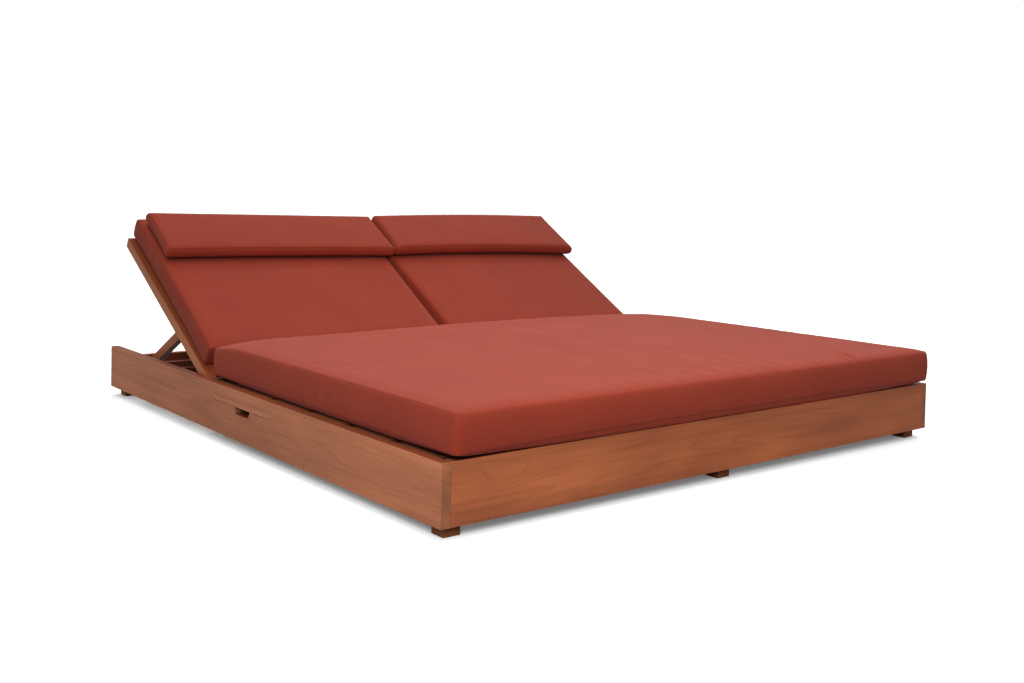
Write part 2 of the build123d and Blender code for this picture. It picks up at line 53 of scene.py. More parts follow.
reclines = {joint["child"]: joint for joint in frame["joints"] if joint["name"].endswith("_recline")}
HINGE_Y, HINGE_Z = (1000 * value for value in reclines["back_right"]["pos_m"][1:])
REST_ANGLE = -radians(reclines["back_right"]["range_deg"][0])
RAIL_TOP = 1000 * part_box("side_rail_right")[1].z
DECK = RAIL_TOP + 0.3
BACK_PAD_TOP = RAIL_TOP + 75
PILLOW_DECK = BACK_PAD_TOP + 0.6

# how steeply a pad's faces leave its seams, and how far a seam's stitches, the painted shade along it and its
# puckers reach from it
SHOULDER = 2.4
STITCH_WIDTH, SHADE_WIDTH = 1.4, 1.9
ROLL_PLACE, ROLL_WIDTH = 6, 3.5
PUCKER_START, PUCKER_REACH = 3, 16
PUCKER_LENGTHS = 38, 27, 21, 55
UNEVEN_LENGTHS = 620, 410, 330, 240, 190
# how far a pad's grid lines are drawn to its seams, and the distances from a seam that the finer grid adds lines at
TIGHTNESS = 0.5
NEAR_SEAM = 1, 2, 3.2, 4.8, 7
CLOTH_FRAMES = 20


def photo_camera():
    """Camera of the photograph, as the corners of the frame give it."""
    focal, drop = 1093.7, 110
    yaw, pitch, roll = radians(38.732), radians(1.865), radians(1.256)
    data = bpy.data.cameras.new("photo_camera")
    data.sensor_width = 36
    data.lens = data.sensor_width * focal / PHOTO_WIDTH
    data.shift_y = -drop / PHOTO_WIDTH
    forward = np.array([sin(yaw) * cos(pitch), cos(yaw) * cos(pitch), -sin(pitch)])
    level = np.array([cos(yaw), -sin(yaw), 0])
    upright = np.cross(level, forward)
    turned = np.eye(4)
    turned[:3, 0] = level * cos(roll) + upright * sin(roll)
    turned[:3, 1] = upright * cos(roll) - level * sin(roll)
    turned[:3, 2] = -forward
    turned[:3, 3] = -2.26307, -2.88547, 0.73828
    camera = bpy.data.objects.new("photo_camera", data)
    camera.matrix_world = Matrix(turned.tolist())
    bpy.context.scene.collection.objects.link(camera)
    bpy.context.scene.camera = camera


def add(tree, kind, inputs=None, **settings):
    """Add a node to a tree with its settings; an input given a socket is linked, any other is set."""
    made = tree.nodes.new(kind)
    for name, value in settings.items():
        setattr(made, name, value)
    for key, value in (inputs or {}).items():
        if isinstance(value, bpy.types.NodeSocket):
            tree.links.new(value, made.inputs[key])
        else:
            made.inputs[key].default_value = value
    return made


def colour(code):
    """Linear red, green, blue and alpha of an sRGB hex code."""
    parts = [int(code[place:place + 2], 16) / 255 for place in (1, 3, 5)]
    return [part / 12.92 if part <= 0.04045 else ((part + 0.055) / 1.055) ** 2.4 for part in parts] + [1]


def new_material(name):
    """New material with its tree and its own shader node."""
    made = bpy.data.materials.new(name)
    made.use_nodes = True
    tree = made.node_tree
    return made, tree, tree.nodes["Principled BSDF"]


def times(tree, first, *others):
    """Product of numbers, each a socket."""
    for other in others:
        first = add(tree, "ShaderNodeMath", {0: first, 1: other}, operation="MULTIPLY").outputs[0]
    return first


def tinted(tree, first, *others):
    """Product of colours or of a colour and a number, each a socket or a value."""
    for other in others:
        first = add(tree, "ShaderNodeVectorMath", {0: first, 1: other}, operation="MULTIPLY").outputs[0]
    return first


def ranged(tree, value, before, after):
    """A number brought from the range before to the range after, and held inside it."""
    return add(tree, "ShaderNodeMapRange", {"Value": value, "From Min": before[0], "From Max": before[1],
                                            "To Min": after[0], "To Max": after[1]}).outputs[0]


def noise(tree, place, scale, detail, shift=(0, 0, 0), roughness=0.5):
    """Noise from 0 to 1 over a place in metres. scale counts its swells in a metre of each axis."""
    spot = add(tree, "ShaderNodeMapping", {"Vector": place, "Location": shift, "Scale": scale})
    return add(tree, "ShaderNodeTexNoise", {"Vector": spot.outputs[0], "Scale": 1.0, "Detail": detail,
                                            "Roughness": roughness}).outputs["Fac"]


def seen_rays(tree):
    """1 for rays that show a thing itself, straight, mirrored or through glass, and 0 for those that light
    other things with it."""
    rays = add(tree, "ShaderNodeLightPath")
    seen = rays.outputs["Is Camera Ray"]
    for kind in ("Is Glossy Ray", "Is Transmission Ray"):
        seen = add(tree, "ShaderNodeMath", {0: seen, 1: rays.outputs[kind]}, operation="MAXIMUM").outputs[0]
    return seen


def photo_paper():
    """White seamless paper, seen white with the lounger's shadow, and grey where it lights the lounger from
    below."""
    paper, tree, shader = new_material("white_seamless_paper")
    tree.nodes.remove(shader)
    seen = seen_rays(tree)
    lift = add(tree, "ShaderNodeMath", {0: seen, 1: 0.15}, operation="MULTIPLY")
    tint = add(tree, "ShaderNodeMix", {"Factor": seen, "A": colour("#6C6C6C"), "B": (1.55, 1.62, 1.64, 1)},
               data_type="RGBA")
    matt = add(tree, "ShaderNodeBsdfDiffuse", {"Color": tint.outputs["Result"]})
    glow = add(tree, "ShaderNodeEmission", {"Color": (1, 1, 1, 1), "Strength": lift.outputs[0]})
    both = add(tree, "ShaderNodeAddShader", {0: matt.outputs[0], 1: glow.outputs[0]})
    tree.links.new(both.outputs[0], tree.nodes["Material Output"].inputs["Surface"])
    mesh = bpy.data.meshes.new("floor")
    half = 30  # metres
    mesh.from_pydata([(-half, -half, 0), (half, -half, 0), (half, half, 0), (-half, half, 0)], [], [(0, 1, 2, 3)])
    mesh.materials.append(paper)
    floor = bpy.data.objects.new("floor", mesh)
    bpy.context.scene.collection.objects.link(floor)


def lamp(name, kind, source, **settings):
    """Lamp with its settings that shines from the side source points to."""
    data = bpy.data.lights.new(name, kind)
    for key, value in settings.items():
        setattr(data, key, value)
    holder = bpy.data.objects.new(name, data)
    holder.rotation_euler = Vector(source).to_track_quat("Z", "Y").to_euler()
    bpy.context.scene.collection.objects.link(holder)
    return holder


def studio_light():
    """Plain white surroundings, a wide soft key light overhead, a little behind the lounger and to its right,
    and a weaker soft box high in front of its left corner."""
    world = bpy.data.worlds.new("studio")
    bpy.context.scene.world = world
    world.use_nodes = True
    tree = world.node_tree
    background = tree.nodes["Background"]
    background.inputs["Color"].default_value = (1, 1, 1, 1)
    tree.links.new(ranged(tree, seen_rays(tree), (0, 1), (0.16, 1)), background.inputs["Strength"])
    lamp("key_light", "SUN", (0.32, 0.26, 0.91), energy=2.02, angle=radians(90))
    fill = lamp("fill_light", "AREA", (-2.4, -2.7, 1.7), energy=98, size=1.4)
    fill.location = -3.0, -3.3, 2.0
    fill.visible_camera = False


def painted_crevice_shade(tree, reach):
    """Painted shade in crevices: darker where other surfaces stand within reach, in metres."""
    open_sky = add(tree, "ShaderNodeAmbientOcclusion", {"Distance": reach}, samples=6)
    return ranged(tree, open_sky.outputs["AO"], (0.1, 0.55), (0.12, 1))


def oiled_teak(name, turn, seed, dark, light, covered=(1, 1, 1, 1), edge_light=1.25):
    """Planed teak with an oil finish: orange-brown heartwood whose growth rings draw thin, soft, darker lines along
    the board and close into arrows, with darker streaks, fine fibres, a painted highlight along each edge and
    painted shade in the corners where boards meet. turn brings the board's length onto X and the face that light
    seldom reaches upwards;
    covered is the tint of the painted shade there, and edge_light how bright the last 2 mm of a face are painted:
    above 1 a painted highlight, below 1 a painted shade line."""
    wood, tree, shader = new_material(name)
    place = add(tree, "ShaderNodeTexCoord")
    along = add(tree, "ShaderNodeMapping", {"Vector": place.outputs["Object"], "Rotation": turn}).outputs[0]
    # rings: level lines of a slow swell, 10 to 30 mm apart across the board and up to a metre long
    swell = noise(tree, along, (0.9, 10, 12), 1.0, seed, 0.4)
    rings = add(tree, "ShaderNodeMath", {0: swell, 1: 16.0}, operation="MULTIPLY")
    rings = add(tree, "ShaderNodeMath", {0: rings.outputs[0]}, operation="FRACT")
    late = add(tree, "ShaderNodeValToRGB", {"Fac": rings.outputs[0]})
    # each ring darkens slowly and ends at once
    for spot, level in ((0.55, 0.0), (0.86, 0.45), (0.95, 1.0), (1.0, 1.0)):
        late.color_ramp.elements.new(spot).color = (level, level, level, 1)
    for element in (late.color_ramp.elements[0], late.color_ramp.elements[-1]):
        element.color = (0.1, 0.1, 0.1, 1)
    # soft streaks 10 to 20 mm across and half a metre long, and fibres 1 to 2 mm across, 60 mm and more long
    streaks = noise(tree, along, (1.6, 60, 75), 2.0, seed)
    fibres = noise(tree, along, (14, 520, 520), 3.0, roughness=0.65)
    clouds = noise(tree, along, (1.8, 8, 8), 2.0, seed)
    tone = ranged(tree, clouds, (0.3, 0.7), (0, 1))
    base = add(tree, "ShaderNodeMix", {"Factor": tone, "A": colour(dark), "B": colour(light)}, data_type="RGBA")
    vein = ranged(tree, late.outputs["Color"], (0, 1), (1, 0.88))
    streak = ranged(tree, streaks, (0.3, 0.7), (0.9, 1.07))
    fibre = ranged(tree, fibres, (0.3, 0.7), (0.94, 1.05))
    # painted highlight: an edge, where the face's own normal leaves that of a 2 mm round over it, is painted
    # brighter, or darker as a painted shade line where the edge light is below 1
    eased = add(tree, "ShaderNodeBevel", {"Radius": 0.002}, samples=4)
    facing = add(tree, "ShaderNodeNewGeometry")
    square = add(tree, "ShaderNodeVectorMath", {0: eased.outputs[0], 1: facing.outputs["True Normal"]},
                 operation="DOT_PRODUCT")
    painted_edge_light = ranged(tree, square.outputs["Value"], (0.995, 0.85), (1, edge_light))
    # painted shade: the face turned upwards takes the covered tint for the shade it lies in, and end grain drinks
    # more of the oil
    normal = add(tree, "ShaderNodeMapping", {"Vector": place.outputs["Normal"], "Rotation": turn},
                 vector_type="NORMAL")
    normal = add(tree, "ShaderNodeSeparateXYZ", {0: normal.outputs[0]})
    upward = ranged(tree, normal.outputs["Z"], (0.5, 0.9), (0, 1))
    painted_face_shade = add(tree, "ShaderNodeMix", {"Factor": upward, "A": (1, 1, 1, 1), "B": covered}, data_type="RGBA")
    endwise = add(tree, "ShaderNodeMath", {0: normal.outputs["X"]}, operation="ABSOLUTE")
    ends = ranged(tree, endwise.outputs[0], (0.5, 0.9), (1, 0.72))
    shade = times(tree, vein, streak, fibre, painted_edge_light, ends, painted_crevice_shade(tree, 0.03))
    shaded = tinted(tree, base.outputs["Result"], shade, painted_face_shade.outputs["Result"])
    tree.links.new(shaded, shader.inputs["Base Color"])
    shader.inputs["Roughness"].default_value = 0.6
    shader.inputs["IOR"].default_value = 1.5
    shader.inputs["Specular IOR Level"].default_value = 0.12
    grain = add(tree, "ShaderNodeBump", {"Height": fibres, "Strength": 0.25, "Distance": 0.0003})
    tree.links.new(grain.outputs[0], shader.inputs["Normal"])
    return wood


def woven_canvas(name, dye_and_shade):
    """Acrylic outdoor canvas, dyed in the yarn and woven plain: matt terracotta with a faint heathered
    rib and a soft sheen at a slant. The real yarns are 0.6 mm apart; they are drawn 1.8 mm apart to show."""
    cloth, tree, shader = new_material(name)
    flat = add(tree, "ShaderNodeUVMap", uv_map="cloth").outputs[0]
    yarns = add(tree, "ShaderNodeMapping", {"Vector": flat, "Scale": [2 * pi / 0.0018] * 3})
    split = add(tree, "ShaderNodeSeparateXYZ", {0: yarns.outputs[0]})
    warp, weft = (add(tree, "ShaderNodeMath", {0: split.outputs[axis]}, operation="SINE") for axis in "XY")
    weave = times(tree, warp.outputs[0], weft.outputs[0])
    heather = noise(tree, flat, (500, 90, 1), 3.0)
    patch = noise(tree, flat, (5, 5, 1), 2.0)
    mixed = add(tree, "ShaderNodeMath", {0: heather, 1: patch}, operation="ADD")
    yarn = ranged(tree, mixed.outputs[0], (0.7, 1.3), (0.9, 1.08))
    # painted shade along the seams, where their stitched valleys lie in shade
    seam = add(tree, "ShaderNodeAttribute", attribute_name="seam")
    painted_seam_shade = ranged(tree, seam.outputs["Fac"], (0, 1), (1, 0.55))
    # painted light: the canvas is painted paler in the middle of the lounger and a little darker towards its ends,
    # as light falling off there would leave it
    place = add(tree, "ShaderNodeTexCoord")
    across = add(tree, "ShaderNodeSeparateXYZ", {0: place.outputs["Object"]})
    off = add(tree, "ShaderNodeMath", {0: across.outputs["X"], 1: 0.1}, operation="SUBTRACT")
    off = add(tree, "ShaderNodeMath", {0: off.outputs[0], 1: 2.0}, operation="POWER")
    painted_light_falloff = ranged(tree, off.outputs[0], (0, 1), (1, 0.85))
    # the canvas colour: its dye times the yarns' tone, the painted shade along the seams and in crevices, and the
    # painted light falloff
    dyed = tinted(tree, colour(dye_and_shade)[:3], times(tree, yarn, painted_seam_shade, painted_crevice_shade(tree, 0.02), painted_light_falloff))
    tree.links.new(dyed, shader.inputs["Base Color"])
    shader.inputs["Roughness"].default_value = 0.85
    shader.inputs["IOR"].default_value = 1.45
    shader.inputs["Specular IOR Level"].default_value = 0.18
    shader.inputs["Sheen Weight"].default_value = 0.1
    shader.inputs["Sheen Roughness"].default_value = 0.5
    shader.inputs["Sheen Tint"].default_value = colour("#E8C8BE")
    bump = add(tree, "ShaderNodeBump", {"Height": weave, "Strength": 0.35, "Distance": 0.0003})
    tree.links.new(bump.outputs[0], shader.inputs["Normal"])
    return cloth


def brushed_steel(name):
    """Stainless steel, turned: a grey satin metal with fine rings of tool marks."""
    steel, tree, shader = new_material(name)
    place = add(tree, "ShaderNodeTexCoord")
    marks = add(tree, "ShaderNodeTexNoise", {"Vector": place.outputs["Object"], "Scale": 900.0, "Detail": 2.0})
    rough = ranged(tree, marks.outputs["Fac"], (0, 1), (0.25, 0.45))
    shader.inputs["Base Color"].default_value = colour("#BFC1C2")
    shader.inputs["Metallic"].default_value = 1
    tree.links.new(rough, shader.inputs["Roughness"])
    return steel


def graded(start, end, count):
    """count + 1 places from start to end, closer at both ends: for shares s of the way, s - 0.5 sin(2 pi s) / 2 pi
    of it."""
    share = np.linspace(0, 1, count + 1)
    return start + (end - start) * (share - TIGHTNESS * np.sin(2 * pi * share) / (2 * pi))


def rim(grid):
    """The edge of a grid as one loop, anticlockwise from its first corner."""
    return np.concatenate([grid[0, :-1], grid[:-1, -1], grid[-1, :0:-1], grid[:0:-1, 0]])


def quads(numbers):
    """Corners of every cell of a grid of vertex numbers, anticlockwise."""
    return np.stack([numbers[:-1, :-1], numbers[:-1, 1:], numbers[1:, 1:], numbers[1:, :-1]], -1).reshape(-1, 4)


def closed(grid):
    """A grid round a loop with its first column again at its end."""
    return np.concatenate([grid, grid[:, :1]], 1)


def ripples(x, y, lengths, seed):
    """Smooth unevenness from -1 to 1: the mean of plane waves with these lengths, seeded ways and starts."""
    random = np.random.RandomState(seed)
    total = np.zeros(np.broadcast(x, y).shape)
    for length in lengths:
        way, start = random.uniform(0, pi), random.uniform(0, 2 * pi)
        total += np.sin(2 * pi * (x * cos(way) + y * sin(way)) / length + start)
    return total / len(lengths)


def stitched(across, along, rows):
    """Vertex numbers of a pad's top, underside and boxing, which share those along the two seams."""
    size = (across + 1) * (along + 1)
    top = np.arange(size).reshape(along + 1, across + 1)
    under = top + size
    loop = 2 * (across + along)
    inner = 2 * size + np.arange((rows - 1) * loop).reshape(rows - 1, loop)
    return top, under, np.vstack([rim(under), inner, rim(top)])


def pad_form(pad, across, along, rows):
    """Top, underside and boxing of a boxed cushion as grids of points; x, y and t run from -1 to 1.
    In plan the seams are a rectangle with round corners, its sides drawn in by draw (1 - t^4) between them, then
    shifted by (skew + flare x) y along X and by (swing + twist y) x + bow (1 - x^2) along Y. Above the upper
    seam the top rises to its height by 1 - (1 - d/e)^2.4 for the distance d from each side, plus a crown of
    (1 - x^2)(1 - y^2), less each slump of drop exp(-(d/reach)^2). The underside falls from the lower seam to the
    deck in the same way; that seam sinks by sink (1 - x^4) y^2, and the underside is tucked in at its foot end.
    The boxing swells by bulge (1 - t^2) between the seams."""
    x0, x1, y0, y1 = pad["plan"]
    low, high = pad["seams"]
    middle_x, middle_y, half_x, half_y = (x0 + x1) / 2, (y0 + y1) / 2, (x1 - x0) / 2, (y1 - y0) / 2
    x, y = np.meshgrid(graded(-half_x, half_x, across), graded(-half_y, half_y, along))
    radius = pad["corner"]
    a = np.clip((abs(x) - half_x + radius) / radius, 0, 1)
    b = np.clip((abs(y) - half_y + radius) / radius, 0, 1)
    round_x = np.sign(x) * (abs(x) - radius * a * (1 - np.sqrt(1 - b ** 2 / 2)))
    round_y = np.sign(y) * (abs(y) - radius * b * (1 - np.sqrt(1 - a ** 2 / 2)))
    draw_side, draw_end = pad["draw"]
    plan_x = middle_x + round_x * (1 - draw_side / half_x * (1 - (y / half_y) ** 4))
    plan_y = middle_y + round_y * (1 - draw_end / half_y * (1 - (x / half_x) ** 4))

    def risen(reach):
        """From 0 at the seams to 1 a reach inside them."""
        shares = [1 - (1 - np.clip((half - abs(way)) / reach, 0, 1)) ** SHOULDER
                  for half, way in ((half_x, x), (half_y, y))]
        return shares[0] * shares[1]

    dome = (1 - (x / half_x) ** 2) * (1 - (y / half_y) ** 2)
    uneven = ripples(x, y, UNEVEN_LENGTHS, pad["seed"])
    # crown and unevenness fade out over 90 mm, from 30 mm before the line where another pad lies on this one
    free = np.clip((pad["covered"] - 30 - middle_y - y) / 90, 0, 1)
    free = free * free * (3 - 2 * free)
    over = high + (pad["top"] - high) * risen(pad["edge"]) + pad["crown"] * dome * free
    over += pad["uneven"] * uneven * free * risen(1.5 * pad["edge"])
    low -= pad["sink"] * (1 - (x / half_x) ** 4) * (y / half_y) ** 2
    at_corner = (x / half_x) ** 6 * (y / half_y) ** 6
    below = low - (low - pad["deck"]) * risen(pad["under_edge"] + pad["under_corner"] * at_corner)
    for corner_x, corner_y, drop, reach in pad["slump"]:
        away_x, away_y = x + middle_x - corner_x, y + middle_y - corner_y
        over -= drop * np.exp(-(away_x ** 2 + away_y ** 2) / reach ** 2)
    plan_x += (pad["skew"] + pad["flare"] * x / half_x) * y / half_y
    plan_y += (pad["swing"] + pad["twist"] * y / half_y) * x / half_x + pad["bow"] * (1 - (x / half_x) ** 2)
    top = np.stack([plan_x, plan_y, over], -1)
    under = np.stack([plan_x, plan_y + pad["tuck"] * np.clip(-y / half_y, 0, 1) ** 8, below], -1)
    lower, upper = rim(under), rim(top)
    tangent = np.roll(upper, -1, 0) - np.roll(upper, 1, 0)
    outward = np.stack([tangent[:, 1], -tangent[:, 0]], -1)
    outward /= np.linalg.norm(outward, axis=1)[:, None]
    share = np.linspace(0, 1, rows + 1)[:, None, None]
    boxing = lower * (1 - share) + upper * share
    boxing[:, :, :2] += pad["bulge"] * (4 * share * (1 - share)) * outward
    return top, under, boxing


def mesh_object(name, points, faces):
    """Object from points in metres and lists of faces."""
    mesh = bpy.data.meshes.new(name)
    mesh.from_pydata(points.tolist(), [], faces.tolist())
    made = bpy.data.objects.new(name, mesh)
    bpy.context.scene.collection.objects.link(made)
    return made


def blown(points, faces, hold, pad):
    """Points of a pad after a cloth simulation with air pressure inside. hold is how firmly the stuffing keeps
    each point, and a move m comes to no more than the cap, as cap tanh(m / cap)."""
    model = mesh_object("cloth_model", points * MM, faces)
    group = model.vertex_groups.new(name="stuffing")
    for level in np.unique(hold):
        group.add(np.flatnonzero(hold == level).tolist(), float(level), "REPLACE")
    cloth = model.modifiers.new("cloth", "CLOTH")
    settings = cloth.settings
    settings.quality = 6
    settings.mass = 0.25
    settings.tension_stiffness = settings.compression_stiffness = 20
    settings.shear_stiffness = 10
    settings.bending_stiffness = 6
    settings.use_pressure = True
    settings.uniform_pressure_force = pad["pressure"]
    settings.shrink_min = settings.shrink_max = -pad["grow"]
    settings.vertex_group_mass = group.name
    settings.pin_stiffness = 1
    settings.effector_weights.gravity = 0
    scene = bpy.context.scene
    for step in range(1, CLOTH_FRAMES + 1):
        scene.frame_set(step)
    shaped = model.evaluated_get(bpy.context.evaluated_depsgraph_get()).data
    moved = np.empty(len(points) * 3, np.float32)
    shaped.vertices.foreach_get("co", moved)
    scene.frame_set(1)
    bpy.data.objects.remove(model)
    move = moved.reshape(-1, 3) / MM - points
    size = np.linalg.norm(move, axis=1)[:, None] + 1e-9
    return points + move * np.tanh(size / pad["cap"]) * pad["cap"] / size


def between(grid, places, axis, loop=False):
    """A grid read at places counted in its lines, on Catmull-Rom curves along one axis."""
    grid = np.moveaxis(grid, axis, 0)
    if loop:
        grid = np.concatenate([grid[-1:], grid, grid[:2]])
    else:
        grid = np.concatenate([2 * grid[:1] - grid[1:2], grid, 2 * grid[-1:] - grid[-2:-1]])
    whole = np.minimum(np.floor(places).astype(int), len(grid) - 4 + loop)
    t = (places - whole).reshape(-1, *[1] * (grid.ndim - 1))
    weights = ((-t ** 3 + 2 * t ** 2 - t) / 2, (3 * t ** 3 - 5 * t ** 2 + 2) / 2,
               (-3 * t ** 3 + 4 * t ** 2 + t) / 2, (t ** 3 - t ** 2) / 2)
    read = sum(weight * grid[whole + step] for step, weight in enumerate(weights))
    return np.moveaxis(read, 0, axis)


def fine_places(lines, count):
    """Places over a run of graded lines, with more beside the seams at both ends."""
    spots = np.arange(len(lines), dtype=float)
    extra = np.interp(lines[0] + np.array(NEAR_SEAM), lines, spots)
    places = np.concatenate([np.linspace(0, spots[-1], count + 1), extra, spots[-1] - extra])
    return np.unique(np.round(places, 5))


def raised(points):
    """Points of a back, drawn lying flat, turned up about its hinge."""
    y, z = points[:, 1] - HINGE_Y, points[:, 2] - HINGE_Z
    turned = points.copy()
    turned[:, 1] = HINGE_Y + y * cos(REST_ANGLE) - z * sin(REST_ANGLE)
    turned[:, 2] = HINGE_Z + y * sin(REST_ANGLE) + z * cos(REST_ANGLE)
    return turned


def joined(panels, numbers):
    """One array from a pad's panels and their vertex numbers."""
    whole = np.empty((numbers[2].max() + 1,) + panels[0].shape[2:])
    for panel, number in zip(panels, numbers):
        whole[number] = panel
    return whole


def pad_faces(numbers):
    """Faces of a pad's top, underside and boxing."""
    top, under, boxing = numbers
    return [quads(top), quads(under)[:, ::-1], quads(closed(boxing))]


def stuffed(pad):
    """Top, underside and boxing of a pad after its simulation. The stuffing holds the underside, and what lies
    under another pad, where they are."""
    across, along, rows = pad["cells"]
    panels = pad_form(pad, across, along, rows)
    numbers = stitched(across, along, rows)
    held = np.where(panels[0][:, :, 1] > pad["covered"], 1, pad["hold"])
    hold = joined((held, np.ones(held.shape), np.full(numbers[2].shape, pad["hold"])), numbers)
    moved = blown(joined(panels, numbers), np.vstack(pad_faces(numbers)), hold, pad)
    return [moved[number] for number in numbers]


def creased(x, y, creases):
    """Height of creases on a panel: each is a valley beside a ridge, 2.3 depth s exp(-s^2) across and dying out as
    exp(-r^2) along, for s and r counted in its width and length."""
    total = np.zeros(x.shape)
    for middle_x, middle_y, way, length, width, depth in creases:
        turn = radians(way)
        run = (x - middle_x) * cos(turn) + (y - middle_y) * sin(turn)
        side = (y - middle_y) * cos(turn) - (x - middle_x) * sin(turn)
        total += 2.3 * depth * np.exp(-(run / length) ** 2) * (side / width) * np.exp(-(side / width) ** 2)
    return total


def refined(pad):
    """A blown pad on a finer grid: its points, their numbers by panel, and its panels laid flat, as x and y over
    the top and the underside, and the run along the seams and the rise over the boxing."""
    x0, x1, y0, y1 = pad["plan"]
    low, high = pad["seams"]
    across, along, rows = pad["cells"]
    top, under, boxing = stuffed(pad)
    lines_x, lines_y = graded(x0, x1, across), graded(y0, y1, along)
    lines_z = np.linspace(0, high - low, rows + 1)
    places_x = fine_places(lines_x, pad["fine"][0])
    places_y = fine_places(lines_y, pad["fine"][1])
    places_z = fine_places(lines_z, 2 * rows)
    loop_places = np.concatenate([places_x[:-1], across + places_y[:-1], 2 * across + along - places_x[:0:-1],
                                  2 * across + 2 * along - places_y[:0:-1]])
    panels = [between(between(panel, places_x, 1), places_y, 0) for panel in (top, under)]
    panels.append(between(between(boxing, loop_places, 1, loop=True), places_z, 0))
    numbers = stitched(len(places_x) - 1, len(places_y) - 1, len(places_z) - 1)
    flat_x, flat_y = np.meshgrid(np.interp(places_x, np.arange(across + 1), lines_x),
                                 np.interp(places_y, np.arange(along + 1), lines_y))
    flat_z = np.interp(places_z, np.arange(rows + 1), lines_z)
    edge = rim(np.stack([flat_x, flat_y], -1))
    steps = np.linalg.norm(np.roll(edge, -1, 0) - edge, axis=1)
    run, rise = np.meshgrid(np.concatenate([[0], np.cumsum(steps)]), flat_z)
    return joined(panels, numbers), numbers, (flat_x, flat_y, run, rise)


def seam_measures(pad, flat_x, flat_y, rise, numbers):
    """For each point of a pad its distance from the nearest seam, then from 0 to 1 how near it is to the upper
    seam and not the lower, and how near to the ends and not the sides."""
    x0, x1, y0, y1 = pad["plan"]
    low, high = pad["seams"]
    off_side, off_end = np.minimum(flat_x - x0, x1 - flat_x), np.minimum(flat_y - y0, y1 - flat_y)
    panel_away = np.minimum(off_side, off_end)
    boxing_away = np.minimum(rise, high - low - rise)[:, :-1]
    away = joined((panel_away, panel_away, boxing_away), numbers)
    upper = joined((np.ones(flat_x.shape), np.zeros(flat_x.shape), (rise / (high - low))[:, :-1]), numbers)
    # 2 mm more on both keep the share whole where a side meets an end
    off_side, off_end = off_side + 2, off_end + 2
    at_end = off_side / (off_side + off_end)
    at_end = joined((at_end, at_end, np.broadcast_to(rim(at_end), boxing_away.shape)), numbers)
    return away, upper, at_end


def sewn_pad(name, pad, material, body):
    """Cushion blown up from its form and read on a finer grid. The edge along each seam is rounded: at the
    distance d from the seam the cloth goes inwards and towards the other seam by 0.3 r exp(-d/r), which leans
    both faces to each other where they meet. Then the cloth goes in by a stitched valley 0.6 exp(-(d/1.4)^2)
    times the line's share, out by a low roll 0.3 exp(-((d-6)/3.5)^2) times it, and by ripples that fade as
    exp(-d/16). rounds and lines give the radius r and the line's share on the upper seam along the sides and
    along the ends, and on the lower seam."""
    x0, x1, y0, y1 = pad["plan"]
    points, numbers, (flat_x, flat_y, run, rise) = refined(pad)
    away, upper, at_end = seam_measures(pad, flat_x, flat_y, rise, numbers)
    rounded, line = (low + upper * (side + (end - side) * at_end - low)
                     for side, end, low in (pad["rounds"], pad["lines"]))
    points[numbers[0], 2] += creased(flat_x, flat_y, pad["creases"])
    turned_in = 0.3 * rounded * np.exp(-away / rounded)
    facing = np.stack([np.copysign(1 - at_end, points[:, 0] - (x0 + x1) / 2),
                       np.copysign(at_end, points[:, 1] - (y0 + y1) / 2)], -1)
    facing /= np.linalg.norm(facing, axis=1)[:, None]
    points[:, :2] -= facing * turned_in[:, None]
    points[:, 2] -= np.where(upper > 0.5, 1, -1) * turned_in

    placed = (raised(points) if pad["on_back"] else points) * MM
    piece = mesh_object(name, placed, np.vstack(pad_faces(numbers)))
    mesh = piece.data
    normals = np.empty(placed.size)
    mesh.vertex_normals.foreach_get("vector", normals)
    panel_pucker = ripples(flat_x, flat_y, PUCKER_LENGTHS, pad["seed"] + 2)
    boxing_pucker = ripples(run, rise * 0.3, PUCKER_LENGTHS, pad["seed"] + 1)[:, :-1]
    pucker = joined((panel_pucker, panel_pucker, boxing_pucker), numbers)
    offset = (-0.6 * line * np.exp(-(away / STITCH_WIDTH) ** 2)
              + 0.3 * line * np.exp(-((away - ROLL_PLACE) / ROLL_WIDTH) ** 2)
              + pad["pucker"] * pucker * np.exp(-away / PUCKER_REACH) * (1 - np.exp(-away / PUCKER_START)))
    mesh.vertices.foreach_set("co", (placed + normals.reshape(-1, 3) * offset[:, None] * MM).ravel())
    # painted shade along the seams, a little patchy where they pucker, stored for the canvas
    mesh.attributes.new("seam", "FLOAT", "POINT").data.foreach_set(
        "value", line * np.exp(-(away / SHADE_WIDTH) ** 2) * (0.7 + 0.3 * pucker))
    face_flat = np.stack([flat_x, flat_y], -1)
    flats = [face_flat, face_flat, np.stack([run, rise], -1)]
    corners = [flat.reshape(-1, 2)[quads(np.arange(flat[..., 0].size).reshape(flat.shape[:2]))] for flat in flats]
    corners[1] = corners[1][:, ::-1]
    cloth_map = np.vstack(corners).reshape(-1, 2) * MM
    mesh.uv_layers.new(name="cloth").data.foreach_set("uv", cloth_map.ravel())
    mesh.shade_smooth()
    mesh.materials.append(material)
    mesh.update()
    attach(piece, body)
    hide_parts(name.removeprefix("sewn_"))


bpy.context.scene.view_settings.view_transform = "Standard"
photo_camera()
photo_paper()
studio_light()

seat_canvas = woven_canvas("terracotta_acrylic_canvas_seat", "#AC422D")
# painted shade: the back pads' canvas is the seat's canvas made darker, for the light falling less on them
shaded_back_canvas = woven_canvas("terracotta_acrylic_canvas_back", "#A43E29")
